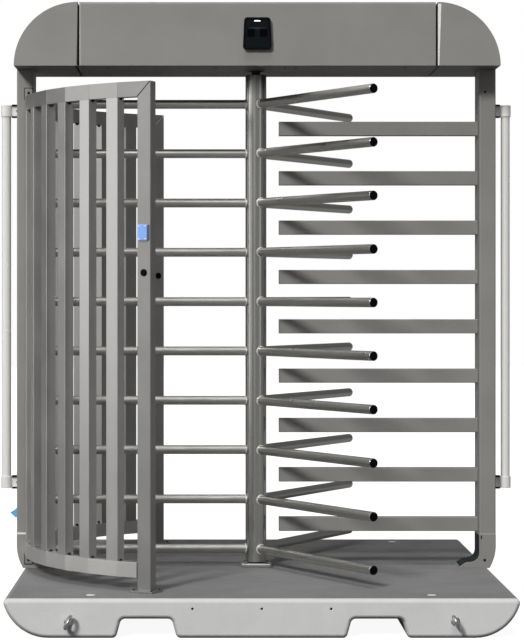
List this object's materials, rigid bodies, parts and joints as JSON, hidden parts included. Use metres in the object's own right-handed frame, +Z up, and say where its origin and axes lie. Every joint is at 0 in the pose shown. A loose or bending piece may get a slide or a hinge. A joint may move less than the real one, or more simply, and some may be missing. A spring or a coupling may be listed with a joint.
{
  "type": "full height turnstile",
  "caption": "Free-standing full height turnstile: winged rotor, fixed comb, curved guard cages and overhead mechanism housing on a ballast base with fork pockets.",
  "frame": {"origin": "on the ground, under the rotor's axis", "axes": "+Z up along the rotor's axis, -Y towards the front with the status display, +X towards the comb"},
  "size_m": [2.164, 2.222, 2.514],
  "materials": {
    "ballast_concrete": "cast concrete, sealed",
    "deck_paint": "textured paint on steel sheet",
    "zinc_plate": "bright zinc plate",
    "post_paint": "satin powder coat",
    "cage_paint": "satin powder coat",
    "liner_dark": "moulded, matt",
    "stainless": "satin brushed stainless steel",
    "header_paint": "satin powder coat",
    "soffit_paint": "dark powder coat",
    "black_plastic": "moulded, satin",
    "display_glass": "tinted, polished",
    "machined_steel": "machined steel",
    "bearing_bronze": "turned bronze",
    "reader_blue": "moulded, gloss",
    "inlet_blue": "moulded, satin",
    "enclosure_grey": "moulded, matt",
    "side_tube_white": "gloss powder coat"
  },
  "bodies": {
    "frame": {"base_block": "ballast_concrete", "deck_plate": "deck_paint", "socket_plug_front_left": "zinc_plate", "socket_plug_front_right": "zinc_plate", "socket_plug_rear_left": "zinc_plate", "socket_plug_rear_right": "zinc_plate", "eye_bolt_front_left": "zinc_plate", "eye_bolt_front_right": "zinc_plate", "eye_bolt_rear_left": "zinc_plate", "eye_bolt_rear_right": "zinc_plate", "foot_left": "post_paint", "foot_right": "post_paint", "foot_liner_left": "liner_dark", "foot_liner_right": "liner_dark", "post_left": "post_paint", "post_right": "post_paint", "comb_bar_1": "post_paint", "comb_bar_2": "post_paint", "comb_bar_3": "post_paint", "comb_bar_4": "post_paint", "comb_bar_5": "post_paint", "comb_bar_6": "post_paint", "comb_bar_7": "post_paint", "comb_bar_8": "post_paint", "comb_bar_9": "post_paint", "cage_front": "cage_paint", "cage_rear": "cage_paint", "pivot_plate": "machined_steel", "header_cover": "header_paint", "header_end_left": "header_paint", "header_end_right": "header_paint", "header_soffit": "soffit_paint", "head_beam": "machined_steel", "bearing_housing": "machined_steel", "top_bearing": "bearing_bronze", "damper_body": "enclosure_grey", "solenoid_left": "enclosure_grey", "solenoid_right": "enclosure_grey", "control_box": "enclosure_grey", "status_display": "black_plastic", "display_window": "display_glass", "card_reader": "reader_blue", "button_bezel_front": "black_plastic", "button_bezel_rear": "black_plastic", "side_tube_left": "side_tube_white", "side_tube_right": "side_tube_white", "inlet_body": "inlet_blue", "inlet_pin": "zinc_plate"},
    "rotor": {"rotor": "stainless", "rotor_shaft": "stainless", "lock_wheel": "machined_steel", "ring_gear": "machined_steel"},
    "damper_pinion": {"damper_pinion": "machined_steel"},
    "pawl_left": {"pawl_left": "machined_steel"},
    "pawl_right": {"pawl_right": "machined_steel"},
    "plunger_left": {"plunger_left": "zinc_plate"},
    "plunger_right": {"plunger_right": "zinc_plate"},
    "inlet_lid": {"inlet_lid": "inlet_blue"},
    "button_front": {"button_cap_front": "black_plastic"},
    "button_rear": {"button_cap_rear": "black_plastic"}
  },
  "joints": [
    {"name": "rotor_turn", "type": "hinge", "parent": "frame", "child": "rotor", "pos_m": [0, 0, 0.17], "axis": [0, 0, 1], "continuous": true},
    {"name": "damper_turn", "type": "hinge", "parent": "frame", "child": "damper_pinion", "pos_m": [0, -0.12, 2.39], "axis": [0, 0, 1], "continuous": true},
    {"name": "pawl_left_swing", "type": "hinge", "parent": "frame", "child": "pawl_left", "pos_m": [-0.132, 0.074, 2.372], "axis": [0, 0, 1], "range_deg": [0, 12], "stiffness_Nm_per_rad": 1},
    {"name": "pawl_right_swing", "type": "hinge", "parent": "frame", "child": "pawl_right", "pos_m": [0.132, 0.074, 2.372], "axis": [0, 0, -1], "range_deg": [0, 12], "stiffness_Nm_per_rad": 1},
    {"name": "plunger_left_pull", "type": "slide", "parent": "frame", "child": "plunger_left", "axis": [-1, 0, 0], "range_m": [0, 0.00735]},
    {"name": "plunger_right_pull", "type": "slide", "parent": "frame", "child": "plunger_right", "axis": [1, 0, 0], "range_m": [0, 0.00735]},
    {"name": "inlet_lid_hinge", "type": "hinge", "parent": "frame", "child": "inlet_lid", "pos_m": [-1.0368, 0, 0.377], "axis": [0, 1, 0], "range_deg": [0, 100], "stiffness_Nm_per_rad": 0.01, "springref_deg": -20.05},
    {"name": "button_front_press", "type": "slide", "parent": "frame", "child": "button_front", "axis": [0.5029, 0.8644, 0], "range_m": [0, 0.003], "stiffness_N_per_m": 300, "springref_m": -0.002},
    {"name": "button_rear_press", "type": "slide", "parent": "frame", "child": "button_rear", "axis": [-0.5029, 0.8644, 0], "range_m": [0, 0.003], "stiffness_N_per_m": 300, "springref_m": -0.002}
  ],
  "couplings": [
    {"joint": "damper_turn", "follows": "rotor_turn", "ratio": -3},
    {"joint": "plunger_left_pull", "follows": "pawl_left_swing", "m_per_rad": 0.035},
    {"joint": "plunger_right_pull", "follows": "pawl_right_swing", "m_per_rad": 0.035}
  ]
}
